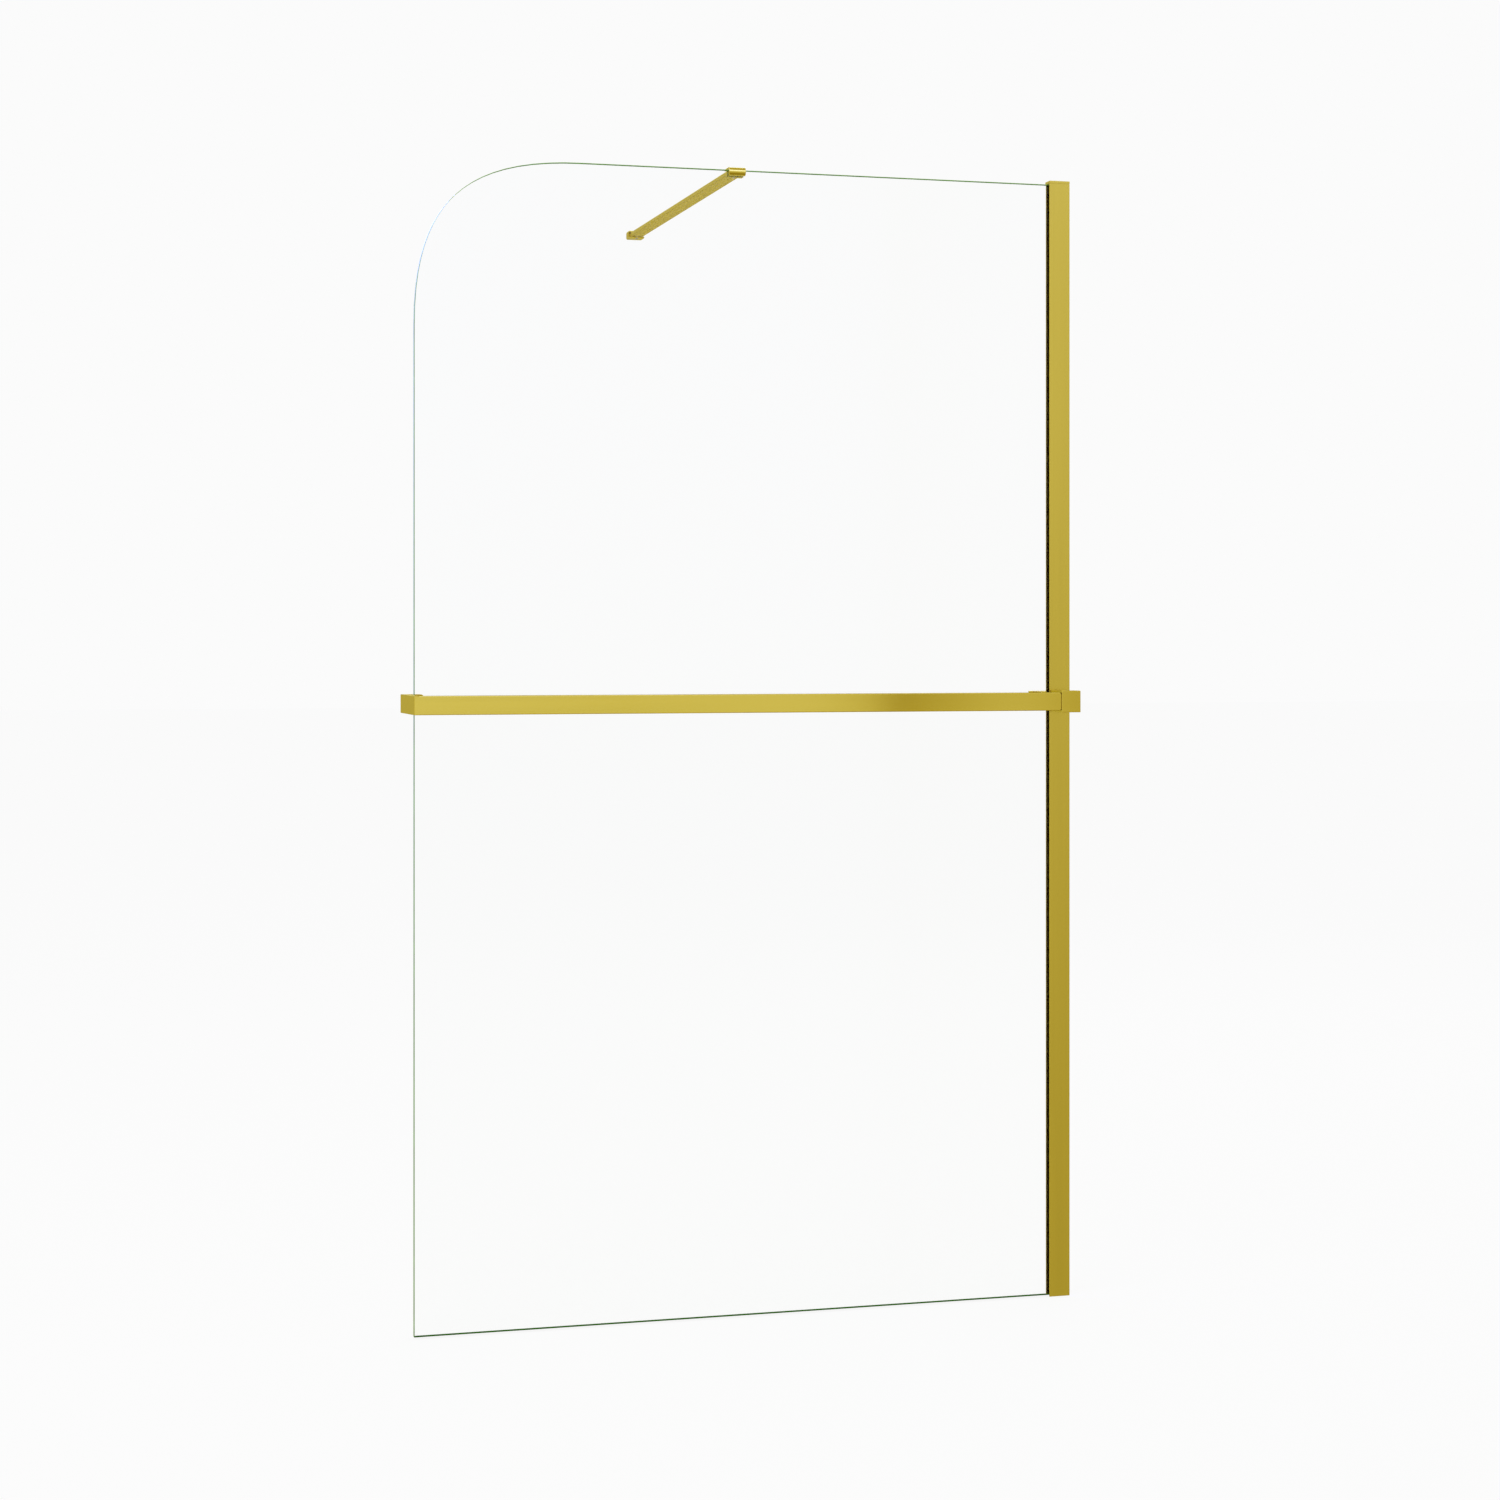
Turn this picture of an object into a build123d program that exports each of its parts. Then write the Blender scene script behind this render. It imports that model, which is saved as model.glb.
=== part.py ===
from build123d import *
import math
import os

# Fixed shower screen: glass pane, wall profile, towel rail round the free edge, brace arm to the far wall.
# Millimetres. +X points into the wall that the profile is fixed to, -Y to the dry side, +Z up.
# The origin is on the wall face, on the pane's middle plane, level with the foot of the wall profile.

# Driving dimensions of the pane
screen_width = 829.7
glass_height = 1400.0
glass_thickness = 8.0
glass_lift = 1.4
corner_reach = 200.0
corner_fullness = 0.71
glass_arris = 0.5

# Driving dimensions of the wall profile and the channel inside it
profile_reach = 27.0
profile_depth = 15.0
profile_wall = 1.5
glass_pocket = 11.0
pocket_floor = 1.5
channel_clearance = 0.3
channel_wall = 1.2
channel_base = 2.0
channel_reach = 13.7
channel_height = 1392.0
gasket_recess = 1.2
gasket_length = 7.5
profile_overrun = 0.9
cap_thickness = 3.2
cap_groove = 0.5
cap_plug = 6.0
setting_block_height = 40.0
setting_block_middles = [120.0, 700.0, 1280.0]

# Wall screw holes in the channel and adjusting screws through the rear wall of the profile
wall_hole_radius = 2.6
wall_hole_heights = [100.0, 500.0, 900.0, 1300.0]
adjust_heights = [175.0, 525.0, 875.0, 1225.0]
adjust_depth = 4.6
adjust_shank = 1.95
adjust_head = 3.4
adjust_head_height = 2.2
adjust_nut_width = 4.4
adjust_nut_height = 8.0
adjust_nut_depth = 2.0

# Driving dimensions of the towel rail
rail_height = 22.4
rail_depth = 14.0
rail_wall = 1.5
rail_centre_height = 750.7
rail_front = 56.0
rail_edge = 0.8
arm_outer = 837.4
arm_plate = 6.0
arm_return = 27.0
arm_return_corner = 5.0
rear_block_width = 24.0
rail_wall_end = 31.8
block_height = 27.0
block_width = 25.0
block_left = 29.9
neck_left = 25.9
neck_width = 17.0
neck_step = 0.5
block_edge = 0.6
spigot_length = 20.0
spigot_play = 0.1
stud_radius = 2.5
stud_length = 12.0
stud_flange_radius = 3.75
stud_flange = 1.0
grub_radius = 2.0
grub_play = 0.05
neck_grub_offset = 8.0
jaw_reach = 16.0
jaw_height = 18.0
jaw_wall = 5.0
jaw_plate = 3.0
rear_jaw_start = 4.0
rear_jaw_end = 11.0
jaw_screw_radius = 2.45
jaw_screw_offset = 8.0
jaw_screw_spread = 4.5
liner_wall = 1.2

# Driving dimensions of the brace arm
arm_centre = -434.2
pill_width = 21.0
pill_height = 10.8
pill_depth = 25.5
clamp_front = -8.5
clamp_lift = -2.2
clamp_liner_wall = 1.0
clamp_screw_radius = 1.95
clamp_screw_spread = 5.5
bar_width = 18.5
bar_thickness = 5.0
washer_thickness = 0.5
pin_inset = 5.0
pin_radius = 2.0
pin_gap = 0.05
tip_radius = 4.3
shoulder_ahead = 3.5
slot_gap = 0.3
foot_flat = 1.4
foot_screw_radius = 2.1
foot_screw_head = 3.0
far_wall = 560.1

# Worked out from the driving dimensions
half_glass = glass_thickness / 2
glass_top = glass_lift + glass_height
profile_height = glass_top + profile_overrun
half_profile = profile_depth / 2
inner_half = half_profile - profile_wall
channel_half = inner_half - channel_clearance
web_face = -profile_reach + glass_pocket
glass_edge = web_face - pocket_floor
rail_middle = rail_front - rail_depth / 2
rail_back = rail_front - rail_depth
rail_low = rail_centre_height - rail_height / 2
rail_high = rail_centre_height + rail_height / 2
plate_inner = -arm_outer + arm_plate
pill_middle_height = glass_top + clamp_lift
pill_left = arm_centre - pill_width / 2
clamp_back = clamp_front + pill_depth
clamp_pin = clamp_back - pin_inset
foot_front = far_wall - pill_depth + foot_flat
foot_pin = foot_front + pin_inset
slot_height = bar_thickness + 2 * (washer_thickness + pin_gap)
jaw_seat = half_glass + liner_wall
clamp_seat = half_glass + clamp_liner_wall
neck_middle = -neck_left + neck_width / 2
arm_grub_place = plate_inner + spigot_length / 2
block_grub_place = -rail_wall_end - spigot_length / 2


def box(x0, x1, y0, y1, z0, z1):
    centre = ((x0 + x1) / 2, (y0 + y1) / 2, (z0 + z1) / 2)
    return Pos(*centre) * Box(x1 - x0, y1 - y0, z1 - z0)


def rod_x(radius, x0, x1, y, z):
    return Pos((x0 + x1) / 2, y, z) * Rot(0, 90, 0) * Cylinder(radius, x1 - x0)


def rod_y(radius, x, y0, y1, z):
    return Pos(x, (y0 + y1) / 2, z) * Rot(90, 0, 0) * Cylinder(radius, y1 - y0)


def rod_z(radius, x, y, z0, z1):
    return Pos(x, y, (z0 + z1) / 2) * Cylinder(radius, z1 - z0)


def soften(solid, size, axis):
    """Round the edges of a solid that run along one axis."""
    return fillet(solid.edges().filter_by(axis), size)


def hex_socket(radius, depth):
    """A socket for a hex key, opening at z = 0 and going down."""
    return extrude(RegularPolygon(radius, 6), amount=-depth)


def grub_screw(radius, length, socket_radius=1.2, socket_depth=2.0):
    """A set screw whose socket is at z = 0 and whose tip is below."""
    body = Pos(0, 0, -length / 2) * Cylinder(radius, length)
    tip = body.edges().filter_by(GeomType.CIRCLE).sort_by(Axis.Z)[0]
    return chamfer(tip, 0.4) - hex_socket(socket_radius, socket_depth)


# Pane and wall profile
def glass_pane():
    left, low, top = -screen_width, glass_lift, glass_top
    pull = corner_reach * (1 - corner_fullness)
    outline = [
        Line((glass_edge, low), (left, low)),
        Line((left, low), (left, top - corner_reach)),
        Bezier(
            (left, top - corner_reach),
            (left, top - pull),
            (left + pull, top),
            (left + corner_reach, top),
        ),
        Line((left + corner_reach, top), (glass_edge, top)),
        Line((glass_edge, top), (glass_edge, low)),
    ]
    face = make_face(Plane.XZ * Wire(outline))
    pane = extrude(face, amount=half_glass, both=True)
    rims = pane.faces().filter_by(Axis.Y).edges()
    return chamfer(rims, glass_arris)


def glass_profile():
    body = box(web_face, web_face + profile_wall, -inner_half, inner_half, 0, profile_height)
    body += box(-profile_reach, 0, -half_profile, -inner_half, 0, profile_height)
    body += box(-profile_reach, 0, inner_half, half_profile, 0, profile_height)
    for height in adjust_heights:
        body -= rod_y(adjust_shank + 0.15, -adjust_depth, inner_half - 1, half_profile + 1, height)
    outer = [e for e in body.edges().filter_by(Axis.Z) if abs(abs(e.center().Y) - half_profile) < 0.01]
    return fillet(outer, 0.5)


def wall_channel():
    reach = channel_half
    body = box(-channel_base, 0, -reach, reach, 0, channel_height)
    body += box(-channel_reach, 0, -reach, -reach + channel_wall, 0, channel_height)
    body += box(-channel_reach, 0, reach - channel_wall, reach, 0, channel_height)
    for height in wall_hole_heights:
        body -= rod_x(wall_hole_radius, -channel_base - 1, 1, 0, height)
    slot = adjust_shank + 0.45
    for height in adjust_heights:
        body -= box(-channel_reach - 1, -adjust_depth, 0, reach + 1, height - slot, height + slot)
        body -= rod_y(slot, -adjust_depth, 0, reach + 1, height)
    return body


def profile_top_cap():
    """The cap stands on the profile with a fine groove between them, and a plug holds it in the profile."""
    low, top = profile_height + cap_groove, profile_height + cap_groove + cap_thickness
    lid = box(-profile_reach, 0, -half_profile, half_profile, low, top)
    lid = fillet(lid.edges().group_by(Axis.Z)[-1], 0.7)
    step = half_profile - cap_groove
    foot = box(cap_groove - profile_reach, -cap_groove, -step, step, profile_height, low)
    plug_reach = inner_half - 0.1
    left = web_face + profile_wall + 0.1
    return lid + foot + box(left, -cap_groove, -plug_reach, plug_reach, profile_height - cap_plug, profile_height)


def gasket(side):
    """A glazing gasket: a packer between pane and wall, with two ribs moulded on its glass face."""
    mouth = -profile_reach + gasket_recess
    points = [
        (mouth, half_glass + 0.05),
        (mouth, inner_half),
        (mouth + gasket_length, inner_half),
        (mouth + gasket_length, inner_half - 0.8),
        (mouth + 4.6, half_glass + 0.9),
        (mouth + 4.0, half_glass + 0.05),
        (mouth + 3.2, half_glass + 0.05),
        (mouth + 2.7, half_glass + 0.7),
        (mouth + 1.6, half_glass + 0.7),
        (mouth + 1.1, half_glass + 0.05),
    ]
    outline = Polyline(*[(x, side * y) for x, y in points], close=True)
    return extrude(make_face(outline), amount=profile_height)


def setting_blocks():
    half = setting_block_height / 2
    side = half_glass - 0.2
    return [box(glass_edge, web_face, -side, side, z - half, z + half) for z in setting_block_middles]


def adjusting_screws():
    screws = []
    for height in adjust_heights:
        shank = rod_y(adjust_shank, -adjust_depth, 2.2, half_profile, height)
        head = rod_y(adjust_head, -adjust_depth, half_profile, half_profile + adjust_head_height, height)
        head = fillet(outer_rim(head), 1.0)
        screws.append(shank + head - cross_recess(height))
    return screws


def outer_rim(rod):
    """The round edge of a rod along Y that is furthest from the pane."""
    return rod.edges().filter_by(GeomType.CIRCLE).sort_by(Axis.Y)[-1]


def cross_recess(height):
    """The cross cut in a screw's head for the driver."""
    x, top = -adjust_depth, half_profile + adjust_head_height
    across = box(x - 2, x + 2, top - 1.2, top + 1, height - 0.4, height + 0.4)
    upright = box(x - 0.4, x + 0.4, top - 1.2, top + 1, height - 2, height + 2)
    return across + upright


def adjusting_nuts():
    inner = channel_half - channel_wall - 0.1
    x, half_x, half_z = -adjust_depth, adjust_nut_width / 2, adjust_nut_height / 2
    nuts = []
    for z in adjust_heights:
        plate = box(x - half_x, x + half_x, inner - adjust_nut_depth, inner, z - half_z, z + half_z)
        nuts.append(plate - rod_y(adjust_shank + 0.05, x, 0, inner + 1, z))
    return nuts


def adjusting_screw_caps():
    caps = []
    for height in adjust_heights:
        outer = rod_y(adjust_head + 1.1, -adjust_depth, half_profile, half_profile + 3.4, height)
        outer = fillet(outer_rim(outer), 1.6)
        inside = half_profile + adjust_head_height + 0.2
        caps.append(outer - rod_y(adjust_head + 0.15, -adjust_depth, half_profile - 1, inside, height))
    return caps


# Towel rail and the parts that carry it
def towel_rail():
    left, right = plate_inner, -rail_wall_end
    tube = box(left, right, -rail_front, -rail_back, rail_low, rail_high)
    tube = soften(tube, rail_edge, Axis.X)
    front, back = -rail_front + rail_wall, -rail_back - rail_wall
    tube -= box(left - 1, right + 1, front, back, rail_low + rail_wall, rail_high - rail_wall)
    for x in (arm_grub_place, block_grub_place):
        tube -= rod_z(grub_radius + 0.1, x, -rail_middle, rail_low - 1, rail_low + rail_wall + 1)
    return tube


def spigot(x0, x1):
    """The tongue that the end of the rail slides over."""
    half_y = rail_depth / 2 - rail_wall - spigot_play
    half_z = rail_height / 2 - rail_wall - spigot_play
    middle = rail_centre_height
    return box(x0, x1, -rail_middle - half_y, -rail_middle + half_y, middle - half_z, middle + half_z)


def rail_grub_hole(x):
    return rod_z(grub_radius + grub_play, x, -rail_middle, rail_low, rail_low + 7)


def rail_end_arm():
    outer, inner = -arm_outer, plate_inner
    plate = box(outer, inner, -rail_front, rail_front, rail_low, rail_high)
    back = box(outer, outer + arm_return, rail_back, rail_front, rail_low, rail_high)
    back = fillet([e for e in back.edges().filter_by(Axis.Y) if e.center().X > inner], arm_return_corner)
    frame = plate + back
    uprights = frame.edges().filter_by(Axis.Z)
    frame = fillet([e for e in uprights if e.center().X < outer + 0.1], rail_edge)
    ends = frame.faces().filter_by(Axis.Z).edges()
    frame = chamfer([e for e in ends if e.length > 3], 0.5)
    low, high = rail_centre_height - jaw_height / 2, rail_centre_height + jaw_height / 2
    tip = inner + jaw_reach
    front_jaw = box(inner, tip, -jaw_seat - jaw_wall, -jaw_seat, low, high)
    rear_jaw = box(inner, tip, jaw_seat + rear_jaw_start, jaw_seat + rear_jaw_end, low, high)
    body = frame + front_jaw + rear_jaw + spigot(inner, inner + spigot_length)
    body -= rail_grub_hole(arm_grub_place)
    for height in jaw_screw_heights():
        hole_ends = (jaw_seat + jaw_plate, jaw_seat + rear_jaw_end + 1)
        body -= rod_y(jaw_screw_radius + grub_play, inner + jaw_screw_offset, *hole_ends, height)
    return body


def jaw_screw_heights():
    return [rail_centre_height - jaw_screw_spread, rail_centre_height + jaw_screw_spread]


def rail_clamp_jaw():
    half = jaw_height / 2 - 0.5
    low, high = rail_centre_height - half, rail_centre_height + half
    left, right = plate_inner + 0.4, plate_inner + jaw_reach
    return soften(box(left, right, jaw_seat, jaw_seat + jaw_plate, low, high), 0.4, Axis.Z)


def rail_clamp_screws():
    outer_end = jaw_seat + rear_jaw_end + 0.6
    screw = Rot(-90, 0, 0) * grub_screw(jaw_screw_radius, outer_end - jaw_seat - jaw_plate, 1.25, 2.5)
    return [Pos(plate_inner + jaw_screw_offset, outer_end, z) * screw for z in jaw_screw_heights()]


def rail_glass_liner():
    left, right = plate_inner, plate_inner + jaw_reach
    low, high = rail_centre_height - jaw_height / 2, rail_centre_height + jaw_height / 2
    body = box(left, right, -jaw_seat, jaw_seat, low, high)
    return body - box(-screen_width, right + 1, -half_glass, half_glass, low - 1, high + 1)


def stud_bore(sign):
    shank = rod_y(stud_radius + 0.1, *bore_span(sign, stud_length + 1), rail_centre_height)
    flange = rod_y(stud_flange_radius + 0.25, *bore_span(sign, stud_flange + 0.2), rail_centre_height)
    return shank + flange


def bore_span(sign, depth):
    """Middle of the neck, and the two ends of a bore that goes out from the profile's face."""
    near, far = sign * half_profile, sign * (half_profile + depth)
    return neck_middle, min(near, far), max(near, far)


def neck(sign, half_height):
    y0, y1 = sorted((sign * half_profile, sign * rail_back))
    z = rail_centre_height
    return box(-neck_left, -neck_left + neck_width, y0, y1, z - half_height, z + half_height)


def neck_grub_hole(sign, half_height):
    y = sign * (half_profile + neck_grub_offset)
    low = rail_centre_height - half_height
    return rod_z(grub_radius + grub_play, neck_middle, y, low, rail_centre_height)


def rail_wall_block():
    half = block_height / 2
    low, high = rail_centre_height - half, rail_centre_height + half
    block = box(-block_left, -block_left + block_width, -rail_front, -rail_back, low, high)
    block = fillet(block.edges(), block_edge)
    body = block + neck(-1, half - neck_step) + spigot(-block_left - spigot_length, -block_left + 1)
    body -= rail_grub_hole(block_grub_place)
    return body - stud_bore(-1) - neck_grub_hole(-1, half - neck_step)


def rail_rear_block():
    left, right = -rail_wall_end, -rail_wall_end + rear_block_width
    block = box(left, right, rail_back, rail_front, rail_low, rail_high)
    block = fillet(block.edges(), block_edge)
    half = rail_height / 2 - neck_step
    return block + neck(1, half) - stud_bore(1) - neck_grub_hole(1, half)


def rail_grub_screws():
    screw = Rot(180, 0, 0) * grub_screw(grub_radius, 6.0)
    return [Pos(x, -rail_middle, rail_low + 0.6) * screw for x in (arm_grub_place, block_grub_place)]


def bracket_studs():
    studs = []
    for sign in (-1, 1):
        shank = rod_y(stud_radius, *bore_span(sign, stud_length), rail_centre_height)
        flange = rod_y(stud_flange_radius, *bore_span(sign, stud_flange), rail_centre_height)
        studs.append(shank + flange)
    return studs


def bracket_grub_screws():
    screws = []
    for sign, half in ((-1, block_height / 2 - neck_step), (1, rail_height / 2 - neck_step)):
        low = rail_centre_height - half + 1.0
        length = rail_centre_height - stud_radius - low
        y = sign * (half_profile + neck_grub_offset)
        screws.append(Pos(neck_middle, y, low) * Rot(180, 0, 0) * grub_screw(grub_radius, length))
    return screws


# Brace arm from the top edge of the pane to the far wall
def pill(front):
    """A block with a half-round front and back, long across the bar."""
    plane = Plane.YZ.offset(pill_left)
    sketch = plane * Pos(front + pill_depth / 2, pill_middle_height) * SlotOverall(pill_depth, pill_height)
    body = extrude(sketch, amount=pill_width)
    ends = body.faces().filter_by(Axis.X).edges()
    return chamfer(ends, 0.5)


def bar_slot(y0, y1):
    low, high = pill_middle_height - slot_height / 2, pill_middle_height + slot_height / 2
    return box(pill_left - 1, pill_left + pill_width + 1, y0, y1, low, high)


def pin_hole(y):
    low, high = pill_middle_height - pill_height, pill_middle_height + pill_height
    return rod_z(pin_radius + 0.02, arm_centre, y, low, high)


def slot_wall(pin, away):
    """How far the bar's tip reaches past its pin, with the gap behind it."""
    return pin + away * (tip_radius + slot_gap)


def arm_clamp_body():
    body = pill(clamp_front)
    left, right = pill_left - 1, pill_left + pill_width + 1
    slot_top = glass_top + clamp_liner_wall
    body -= box(left, right, -clamp_seat, clamp_seat, glass_top - pill_height, slot_top)
    body -= bar_slot(slot_wall(clamp_pin, -1), clamp_back + 1)
    body -= pin_hole(clamp_pin)
    for x in clamp_screw_places():
        body -= rod_y(clamp_screw_radius + grub_play, x, clamp_seat - 0.5, clamp_pin, pill_middle_height)
    return body


def clamp_screw_places():
    return [arm_centre - clamp_screw_spread, arm_centre + clamp_screw_spread]


def arm_clamp_liner():
    gap = 0.05
    left, right = pill_left + 0.3, pill_left + pill_width - 0.3
    low, high = pill_middle_height - pill_height / 2 + 0.4, glass_top + clamp_liner_wall
    body = box(left, right, -clamp_seat, clamp_seat, low, high)
    inner = half_glass + gap
    return body - box(left - 1, right + 1, -inner, inner, low - 1, glass_top + gap)


def arm_clamp_screws():
    outer_end = slot_wall(clamp_pin, -1)
    screw = Rot(-90, 0, 0) * grub_screw(clamp_screw_radius, outer_end - clamp_seat, 1.0, 1.2)
    return [Pos(x, outer_end, pill_middle_height) * screw for x in clamp_screw_places()]


def pivot_pin(y):
    reach = pill_height / 2 - 0.4
    pin = rod_z(pin_radius, arm_centre, y, pill_middle_height - reach, pill_middle_height + reach)
    low = pill_middle_height - reach
    return pin - Pos(arm_centre, y, low) * Rot(180, 0, 0) * hex_socket(1.1, 2.0)


def pivot_washers(y):
    washers = []
    for side in (-1, 1):
        middle = pill_middle_height + side * (slot_height - washer_thickness) / 2
        ring = Cylinder(tip_radius - 0.2, washer_thickness) - Cylinder(pin_radius + pin_gap, 2)
        washers.append(Pos(arm_centre, y, middle) * ring)
    return washers


def bar_end(pin, away):
    """Half of the bar's outline in plan: a tip about the pin, tapering out to the full width."""
    shoulder = pin - away * shoulder_ahead
    reach = math.hypot(bar_width / 2, shoulder_ahead)
    lean = math.atan2(bar_width / 2, -shoulder_ahead) - math.acos(tip_radius / reach)
    touch_x, touch_y = tip_radius * math.sin(lean), away * tip_radius * math.cos(lean)
    return shoulder, touch_x, pin + touch_y


def support_bar():
    near_y, near_x, near_touch = bar_end(clamp_pin, -1)
    far_y, far_x, far_touch = bar_end(foot_pin, 1)
    half = bar_width / 2
    x = arm_centre
    outline = [
        Line((x - half, near_y), (x - half, far_y)),
        Line((x - half, far_y), (x - far_x, far_touch)),
        ThreePointArc((x - far_x, far_touch), (x, foot_pin + tip_radius), (x + far_x, far_touch)),
        Line((x + far_x, far_touch), (x + half, far_y)),
        Line((x + half, far_y), (x + half, near_y)),
        Line((x + half, near_y), (x + near_x, near_touch)),
        ThreePointArc((x + near_x, near_touch), (x, clamp_pin - tip_radius), (x - near_x, near_touch)),
        Line((x - near_x, near_touch), (x - half, near_y)),
    ]
    face = make_face(Wire(outline))
    low = pill_middle_height - bar_thickness / 2
    bar = Pos(0, 0, low) * extrude(face, amount=bar_thickness)
    long_edges = [e for e in bar.edges().filter_by(Axis.Y) if e.length > 100]
    bar = fillet(long_edges, 0.5)
    for y in (clamp_pin, foot_pin):
        bar -= rod_z(pin_radius + pin_gap, x, y, low - 1, low + bar_thickness + 1)
    return bar


def foot_body():
    body = pill(foot_front)
    body -= box(pill_left - 1, pill_left + pill_width + 1, far_wall, far_wall + 10, 0, glass_top + 50)
    wall = slot_wall(foot_pin, 1)
    body -= bar_slot(foot_front - 1, wall)
    body -= pin_hole(foot_pin)
    body -= rod_y(slot_height / 2, arm_centre, wall - 1, wall + foot_screw_head, pill_middle_height)
    return body - rod_y(foot_screw_radius, arm_centre, wall, far_wall + 1, pill_middle_height)


nodes = {
    "wall_channel": wall_channel(),
    "glass_profile": glass_profile(),
    "profile_top_cap": profile_top_cap(),
    "glass_pane": glass_pane(),
    "gasket_front": gasket(-1),
    "gasket_rear": gasket(1),
    "setting_blocks": setting_blocks(),
    "adjusting_screws": adjusting_screws(),
    "adjusting_nuts": adjusting_nuts(),
    "adjusting_screw_caps": adjusting_screw_caps(),
    "towel_rail": towel_rail(),
    "rail_end_arm": rail_end_arm(),
    "rail_clamp_jaw": rail_clamp_jaw(),
    "rail_clamp_screws": rail_clamp_screws(),
    "rail_glass_liner": rail_glass_liner(),
    "rail_wall_block": rail_wall_block(),
    "rail_rear_block": rail_rear_block(),
    "rail_grub_screws": rail_grub_screws(),
    "bracket_studs": bracket_studs(),
    "bracket_grub_screws": bracket_grub_screws(),
    "arm_clamp_body": arm_clamp_body(),
    "arm_clamp_liner": arm_clamp_liner(),
    "arm_clamp_screws": arm_clamp_screws(),
    "arm_pin": pivot_pin(clamp_pin),
    "arm_washers": pivot_washers(clamp_pin),
    "support_bar": support_bar(),
    "foot_body": foot_body(),
    "foot_pin": pivot_pin(foot_pin),
    "foot_washers": pivot_washers(foot_pin),
}

os.makedirs("parts", exist_ok=True)
for name, shape in nodes.items():
    solid = Compound(children=shape) if isinstance(shape, list) else shape
    export_step(solid, f"parts/{name}.step")
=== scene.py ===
import math

import bpy
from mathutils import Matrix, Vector

# A fixed glass shower screen in satin gold on a pale ground, in metres and in the CAD model's own frame.
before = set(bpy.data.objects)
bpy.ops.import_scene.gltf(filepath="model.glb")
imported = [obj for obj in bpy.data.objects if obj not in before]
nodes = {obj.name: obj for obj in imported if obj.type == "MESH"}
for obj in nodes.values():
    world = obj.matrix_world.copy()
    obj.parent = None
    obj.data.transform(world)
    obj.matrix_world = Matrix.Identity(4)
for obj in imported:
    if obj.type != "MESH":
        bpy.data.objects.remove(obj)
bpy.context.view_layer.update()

# Camera: level, with the photograph's horizon kept by a shift
PHOTO_SIZE = 1500
FOCAL_PIXELS = 2757.0
HORIZON_PIXEL = 639.0
SENSOR_MM = 36.0
CAMERA_PLACE = (-1.3114, -3.256, 0.8284)
CAMERA_YAW = math.radians(15.37)

# Colours, linear
GOLD = (0.578, 0.450, 0.064)
GOLD_EDGE_TINT = (0.76, 0.66, 0.25)
GOLD_SPREAD = 0.07
GLASS_GREEN = (0.10, 0.42, 0.16)
GLASS_DENSITY = 1.2
GLASS_IOR = 1.2
GLASS_SHADE = (0.94, 0.97, 0.95)
RIM_GREEN = (0.080, 0.255, 0.004)
# Lighter green painted on the up-facing rim as painted light from above
RIM_GREEN_PAINTED_LIGHT = (0.36, 0.58, 0.17)
# Darker green painted on the bottom rim as painted shade
RIM_GREEN_PAINTED_SHADE = (0.030, 0.120, 0.004)
RIM_SPREAD = 0.2
RIM_NOISE_SCALE = 45.0
FLOOR_GREY = (0.85, 0.85, 0.85)

# Light levels: what the camera sees behind the part, on the floor, and what lights matt surfaces
BACKGROUND = 0.965
FLOOR_LEVEL = 0.992
FLOOR_SEEN = 0.9
WORLD_LIGHT = 0.75
GREEN_POWER = 1.25
BLUE_POWER = 3.0

# Noise scales of the brushed metal, along the grain and across it
SCRATCH_SCALES = (12.0, 2200.0)
CLOUD_SCALES = (2.5, 90.0)
SCRATCH_SHARE = 0.4
SCRATCH_HEIGHT = 0.00002
GRAIN_LEAN = 0.02
ASLANT_RANGE = (0.45, 0.75)

# Sizes in metres
# Rim faces below this height get the painted shade
PAINTED_SHADE_HEIGHT = 0.002
FLOOR_HALF = 30.0
FLOOR_DROP = 0.001
LAMP_AIM = (-0.4, 0.1, 0.7)
LAMP_SIDE = 2.0


def make_camera():
    data = bpy.data.cameras.new("camera")
    data.sensor_width = SENSOR_MM
    data.lens = FOCAL_PIXELS * SENSOR_MM / PHOTO_SIZE
    data.shift_y = (HORIZON_PIXEL - PHOTO_SIZE / 2) / PHOTO_SIZE
    camera = bpy.data.objects.new("camera", data)
    camera.location = CAMERA_PLACE
    camera.rotation_euler = (math.pi / 2, 0, -CAMERA_YAW)
    bpy.context.scene.collection.objects.link(camera)
    bpy.context.scene.camera = camera


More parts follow.
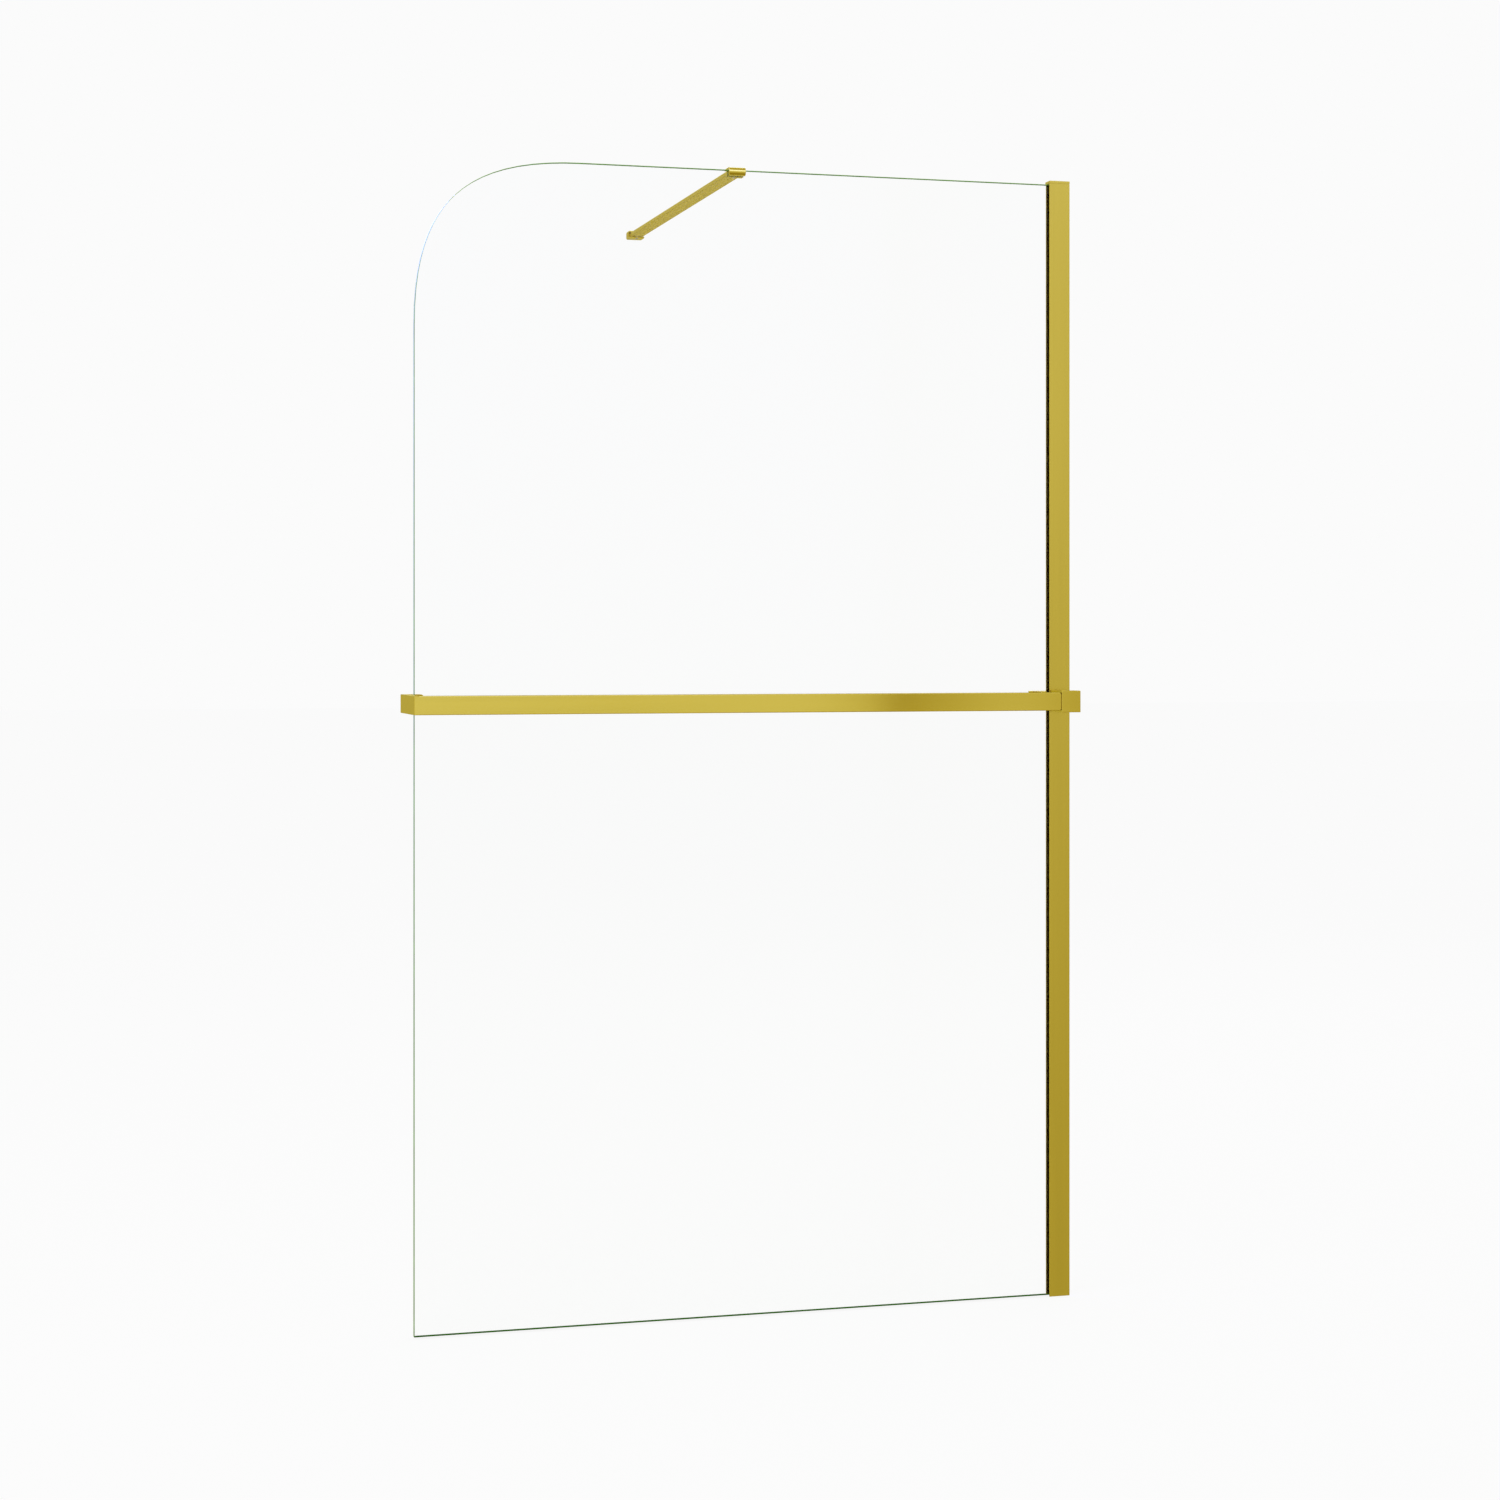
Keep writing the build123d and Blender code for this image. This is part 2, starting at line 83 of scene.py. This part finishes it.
class Graph:
    """A node tree with short calls for making nodes and links."""

    def __init__(self, tree):
        self.tree = tree
        tree.nodes.clear()

    def add(self, kind, inputs=(), **settings):
        node = self.tree.nodes.new(kind)
        for name, value in settings.items():
            setattr(node, name, value)
        for name, value in dict(inputs).items():
            self.put(node.inputs[name], value)
        return node

    def put(self, socket, value):
        if isinstance(value, bpy.types.NodeSocket):
            self.tree.links.new(value, socket)
        elif isinstance(value, tuple) and len(value) == 3 and socket.type == "RGBA":
            socket.default_value = (*value, 1.0)
        else:
            socket.default_value = value

    def math(self, operation, *values):
        node = self.tree.nodes.new("ShaderNodeMath")
        node.operation = operation
        for socket, value in zip(node.inputs, values):
            self.put(socket, value)
        return node.outputs[0]

    def blend(self, factor, first, second):
        node = self.tree.nodes.new("ShaderNodeMix")
        node.data_type = "RGBA"
        for socket, value in zip((node.inputs[0], node.inputs[6], node.inputs[7]), (factor, first, second)):
            self.put(socket, value)
        return node.outputs[2]

    def ramp(self, value, stops):
        node = self.tree.nodes.new("ShaderNodeValToRGB")
        self.put(node.inputs[0], value)
        node.color_ramp.interpolation = "LINEAR"
        elements = node.color_ramp.elements
        while len(elements) < len(stops):
            elements.new(0.5)
        for element, (place, colour) in zip(elements, stops):
            element.position = place
            element.color = (*colour, 1.0) if isinstance(colour, tuple) else (colour, colour, colour, 1.0)
        return node.outputs[0]

    def noise(self, place, scale, detail, **inputs):
        settings = {"Vector": place, "Scale": scale, "Detail": detail, **inputs}
        return self.add("ShaderNodeTexNoise", settings).outputs[0]

    def seen_directly(self):
        """The Light Path node, and 1 for rays from the camera or through the glass."""
        path = self.add("ShaderNodeLightPath")
        return path, self.math("MAXIMUM", path.outputs["Is Camera Ray"], path.outputs["Is Transmission Ray"])


def new_material(name):
    material = bpy.data.materials.new(name)
    material.use_nodes = True
    return material, Graph(material.node_tree)


def scaled(colour, factor):
    return tuple(min(1.0, factor * c) for c in colour)


def give(material, *names):
    """Puts one material on CAD nodes."""
    for name in names:
        mesh = nodes[name].data
        mesh.materials.clear()
        mesh.materials.append(material)


def brushed_gold(name, grain, roughness=0.1):
    """Satin gold metal, brushed along one axis. The grain spreads highlights across itself."""
    material, graph = new_material(name)
    place = graph.add("ShaderNodeTexCoord").outputs["Object"]

    def streak(scales, detail, noise_roughness):
        stretched = tuple(scales[0] if axis == grain else scales[1] for axis in "XYZ")
        mapped = graph.add("ShaderNodeMapping", {"Vector": place, "Scale": stretched}).outputs[0]
        return graph.noise(mapped, 1.0, detail, Roughness=noise_roughness)

    scratches = streak(SCRATCH_SCALES, 3.0, 0.6)
    clouds = streak(CLOUD_SCALES, 2.0, 0.5)
    streaks = graph.math(
        "MULTIPLY_ADD", clouds, 1 - SCRATCH_SHARE, graph.math("MULTIPLY", scratches, SCRATCH_SHARE)
    )
    shade = graph.blend(streaks, scaled(GOLD, 1 - GOLD_SPREAD), scaled(GOLD, 1 + GOLD_SPREAD))
    rough = graph.math("MULTIPLY_ADD", scratches, 0.04, roughness - 0.02)
    bump = graph.add("ShaderNodeBump", {"Strength": 0.12, "Distance": SCRATCH_HEIGHT, "Height": scratches})
    # The slight lean keeps the cross product from vanishing on the faces that the grain points out of
    along = {"X": (1, GRAIN_LEAN, 0), "Y": (GRAIN_LEAN, 1, 0), "Z": (GRAIN_LEAN, 0, 1)}[grain]
    turned = graph.add(
        "ShaderNodeVectorTransform", {"Vector": along},
        vector_type="VECTOR", convert_from="OBJECT", convert_to="WORLD",
    ).outputs[0]
    across = graph.add("ShaderNodeVectorMath", {0: turned}, operation="CROSS_PRODUCT")
    graph.put(across.inputs[1], graph.add("ShaderNodeNewGeometry").outputs["Normal"])
    shader = graph.add(
        "ShaderNodeBsdfPrincipled",
        {"Base Color": shade, "Metallic": 1.0, "Roughness": rough, "Anisotropic": 1.0,
         "Tangent": across.outputs[0], "Normal": bump.outputs[0], "Specular Tint": GOLD_EDGE_TINT},
    )
    flat = graph.add(
        "ShaderNodeBsdfAnisotropic",
        {"Color": shade, "Roughness": rough, "Anisotropy": 1.0,
         "Tangent": across.outputs[0], "Normal": bump.outputs[0]},
    )
    facing = graph.add("ShaderNodeLayerWeight", {"Blend": 0.5}).outputs["Facing"]
    aslant = graph.ramp(facing, [(ASLANT_RANGE[0], 0.0), (ASLANT_RANGE[1], 1.0)])
    mixed = graph.add("ShaderNodeMixShader", {0: aslant, 1: shader.outputs[0], 2: flat.outputs[0]})
    graph.add("ShaderNodeOutputMaterial", {"Surface": mixed.outputs[0]})
    return material


def plain(name, colour, roughness, metallic=0.0, grain=60.0, variation=0.1, shine=0.5):
    """A plain finish with a little unevenness in colour and gloss."""
    material, graph = new_material(name)
    place = graph.add("ShaderNodeTexCoord").outputs["Object"]
    noise = graph.noise(place, grain, 4.0)
    shade = graph.ramp(noise, [(0.3, scaled(colour, 1 - variation)), (0.7, scaled(colour, 1 + variation))])
    rough = graph.math("MULTIPLY_ADD", noise, 0.12, roughness - 0.06)
    bump = graph.add("ShaderNodeBump", {"Strength": 0.08, "Distance": 0.0001, "Height": noise})
    shader = graph.add(
        "ShaderNodeBsdfPrincipled",
        {"Base Color": shade, "Metallic": metallic, "Roughness": rough, "Normal": bump.outputs[0],
         "Specular IOR Level": shine},
    )
    graph.add("ShaderNodeOutputMaterial", {"Surface": shader.outputs[0]})
    return material


def clear_glass():
    """Glass to the eye and to mirrored rays, and a faint shade to shadow and matt light."""
    material, graph = new_material("clear_glass")
    shader = graph.add(
        "ShaderNodeBsdfPrincipled",
        {"Base Color": (1.0, 1.0, 1.0), "Roughness": 0.0, "IOR": GLASS_IOR, "Transmission Weight": 1.0},
    )
    lamp = graph.add("ShaderNodeBsdfTransparent", {"Color": GLASS_SHADE})
    path = graph.add("ShaderNodeLightPath")
    passing = graph.math("MAXIMUM", path.outputs["Is Shadow Ray"], path.outputs["Is Diffuse Ray"])
    mixed = graph.add("ShaderNodeMixShader", {0: passing, 1: shader.outputs[0], 2: lamp.outputs[0]})
    tint = graph.add("ShaderNodeVolumeAbsorption", {"Color": GLASS_GREEN, "Density": GLASS_DENSITY})
    graph.add("ShaderNodeOutputMaterial", {"Surface": mixed.outputs[0], "Volume": tint.outputs[0]})
    return material


def polished_edge(name, colour, painted_light_colour, shine):
    """The polished rim of the pane, where the glass shows its green, with painted light making it lighter
    where it faces up.
    """
    material, graph = new_material(name)
    place = graph.add("ShaderNodeTexCoord").outputs["Object"]
    noise = graph.noise(place, RIM_NOISE_SCALE, 2.0)
    low, high = scaled(colour, 1 - RIM_SPREAD), scaled(colour, 1 + RIM_SPREAD)
    shade = graph.ramp(noise, [(0.35, low), (0.65, high)])
    # Painted light: rim faces that point up blend towards the lighter top green
    normal = graph.add("ShaderNodeSeparateXYZ", {0: graph.add("ShaderNodeNewGeometry").outputs["Normal"]})
    shade = graph.blend(graph.math("MAXIMUM", normal.outputs[2], 0.0), shade, painted_light_colour)
    shader = graph.add(
        "ShaderNodeBsdfPrincipled",
        {"Base Color": shade, "Roughness": 0.15, "IOR": 1.5, "Specular IOR Level": shine},
    )
    graph.add("ShaderNodeOutputMaterial", {"Surface": shader.outputs[0]})
    return material


def dress_pane():
    """Clear faces, green rims, and a darker rim at the bottom: painted shade for where it stands in its own
    shade.
    """
    mesh = nodes["glass_pane"].data
    mesh.materials.clear()
    mesh.materials.append(clear_glass())
    mesh.materials.append(polished_edge("glass_rim", RIM_GREEN, RIM_GREEN_PAINTED_LIGHT, 0.12))
    mesh.materials.append(polished_edge("glass_rim_painted_shade", RIM_GREEN_PAINTED_SHADE, RIM_GREEN_PAINTED_SHADE, 0.0))
    clear, rim, painted_shade_rim = range(3)
    for face in mesh.polygons:
        if abs(face.normal.y) > 0.9:
            face.material_index = clear
        else:
            # Bottom rim faces take the painted-shade material
            face.material_index = painted_shade_rim if face.center.z < PAINTED_SHADE_HEIGHT else rim


def pale_floor():
    """A wide pale ground that runs into the background and keeps the object's soft shadow."""
    mesh = bpy.data.meshes.new("floor")
    turns = [(-1, -1), (1, -1), (1, 1), (-1, 1)]
    mesh.from_pydata([(x * FLOOR_HALF, y * FLOOR_HALF, -FLOOR_DROP) for x, y in turns], [], [(0, 1, 2, 3)])
    floor = bpy.data.objects.new("floor", mesh)
    bpy.context.scene.collection.objects.link(floor)
    material, graph = new_material("floor")
    seen = graph.seen_directly()[1]
    lit = graph.add("ShaderNodeBsdfDiffuse", {"Color": FLOOR_GREY})
    white = graph.add("ShaderNodeEmission", {"Color": (1, 1, 1), "Strength": FLOOR_LEVEL})
    mixed = graph.add(
        "ShaderNodeMixShader",
        {0: graph.math("MULTIPLY", seen, FLOOR_SEEN), 1: lit.outputs[0], 2: white.outputs[0]},
    )
    graph.add("ShaderNodeOutputMaterial", {"Surface": mixed.outputs[0]})
    mesh.materials.append(material)
    floor.visible_glossy = False


def studio_world():
    """White where it is seen, and a soft studio with darker flags where metal reflects it.

    Degrees run round the horizon from -Y towards +X, and up from the horizon.
    """
    world = bpy.data.worlds.new("studio")
    bpy.context.scene.world = world
    world.use_nodes = True
    graph = Graph(world.node_tree)
    direction = graph.add("ShaderNodeSeparateXYZ", {0: graph.add("ShaderNodeTexCoord").outputs["Generated"]})
    x, y, z = direction.outputs
    azimuth = graph.math("ARCTAN2", x, graph.math("MULTIPLY", y, -1.0))
    turn = graph.math("MULTIPLY_ADD", azimuth, 1 / (2 * math.pi), 0.5)

    def at(degrees):
        return 0.5 + degrees / 360

    around = graph.ramp(turn, [
        (at(-180), 1.45), (at(-172), 1.12), (at(-160), 1.08), (at(-120), 0.95), (at(-60), 0.90),
        (at(-20), 1.0), (at(0), 1.10), (at(8.5), 1.10), (at(11), 1.06), (at(13), 1.03), (at(16.88), 1.08),
        (at(18.28), 0.97), (at(19.69), 0.87), (at(21.09), 0.955), (at(22.5), 0.76), (at(24), 0.62),
        (at(32), 0.60), (at(45), 0.80), (at(90), 0.88), (at(140), 1.20), (at(155), 1.95), (at(168), 2.0),
        (at(180), 1.45),
    ])
    flag_start, flag_end = 16.0, 22.0
    span = flag_end - flag_start
    across = graph.math("MULTIPLY_ADD", azimuth, math.degrees(1) / span, -flag_start / span)

    def along(degrees):
        return (degrees - flag_start) / span

    flag = graph.ramp(across, [
        (along(16), 1.0), (along(17.2), 0.97), (along(17.9), 0.96), (along(18.1), 0.88),
        (along(18.35), 0.68), (along(18.55), 0.63), (along(18.8), 0.74), (along(19.1), 0.82),
        (along(19.7), 0.93), (along(20.5), 1.01), (along(21), 1.0), (along(22), 1.0),
    ])
    height = graph.math("MULTIPLY_ADD", graph.math("ARCSINE", z), 1 / math.pi, 0.5)

    def up(degrees):
        return 0.5 + degrees / 180

    rise = graph.ramp(height, [
        (up(-90), 0.70), (up(-69), 0.64), (up(-42), 0.64), (up(-19), 0.78), (up(-13), 0.81), (up(-9.5), 0.85),
        (up(-5.4), 0.91), (up(-1), 1.0), (up(1), 1.02), (up(4.5), 1.12), (up(9.5), 1.13), (up(14), 1.50),
        (up(24), 2.1), (up(34), 1.95), (up(52), 1.1), (up(72), 0.85), (up(90), 0.82),
    ])
    level = graph.math("MULTIPLY", graph.math("MULTIPLY", around, flag), rise)
    mirrored = graph.add(
        "ShaderNodeCombineColor",
        {"Red": level, "Green": graph.math("POWER", level, GREEN_POWER),
         "Blue": graph.math("POWER", level, BLUE_POWER)},
    ).outputs[0]
    path, seen = graph.seen_directly()
    lighting = graph.blend(path.outputs["Is Glossy Ray"], (WORLD_LIGHT,) * 3, mirrored)
    shown = graph.blend(seen, lighting, (BACKGROUND,) * 3)
    back = graph.add("ShaderNodeBackground", {"Color": shown, "Strength": 1.0})
    graph.add("ShaderNodeOutputWorld", {"Surface": back.outputs[0]})


def softbox(name, place, power):
    """A square lamp aimed at the middle of the part, which neither the camera nor the metal shows."""
    data = bpy.data.lights.new(name, "AREA")
    data.shape = "RECTANGLE"
    data.size = data.size_y = LAMP_SIDE
    data.energy = power
    lamp = bpy.data.objects.new(name, data)
    lamp.location = place
    lamp.rotation_euler = (Vector(LAMP_AIM) - Vector(place)).to_track_quat("-Z", "Y").to_euler()
    bpy.context.scene.collection.objects.link(lamp)
    lamp.visible_camera = False
    lamp.visible_glossy = False


make_camera()
pale_floor()
studio_world()
softbox("key", (-2.2, -1.6, 3.4), 28.0)
softbox("fill", (1.8, 2.2, 3.0), 16.0)

along_x = brushed_gold("gold_along_x", "X")
along_y = brushed_gold("gold_along_y", "Y")
along_z = brushed_gold("gold_along_z", "Z", roughness=0.24)
rubber = plain("black_rubber", (0.018, 0.006, 0.0003), 0.7, shine=0.03)
soft_clear = plain("clear_rubber", (0.55, 0.56, 0.55), 0.5)
clear_on_gold = plain("clear_rubber_on_gold", (0.52, 0.41, 0.085), 0.4, variation=0.03)
steel = plain("screw_steel", (0.55, 0.55, 0.56), 0.3, metallic=1.0, grain=300.0)
mill = plain("mill_aluminium", (0.72, 0.72, 0.73), 0.35, metallic=1.0)
nylon = plain("nylon", (0.85, 0.85, 0.83), 0.5)

give(along_z, "glass_profile", "profile_top_cap")
give(along_x, "towel_rail", "rail_end_arm", "rail_wall_block", "rail_clamp_jaw", "arm_clamp_body", "foot_body",
     "adjusting_screw_caps")
give(along_y, "rail_rear_block", "support_bar")
give(rubber, "gasket_front", "gasket_rear")
give(soft_clear, "setting_blocks", "rail_glass_liner")
give(clear_on_gold, "arm_clamp_liner")
give(steel, "adjusting_screws", "adjusting_nuts", "rail_clamp_screws", "rail_grub_screws", "bracket_studs",
     "bracket_grub_screws", "arm_clamp_screws", "arm_pin", "foot_pin")
give(mill, "wall_channel")
give(nylon, "arm_washers", "foot_washers")
dress_pane()

bpy.context.scene.view_settings.view_transform = "Standard"
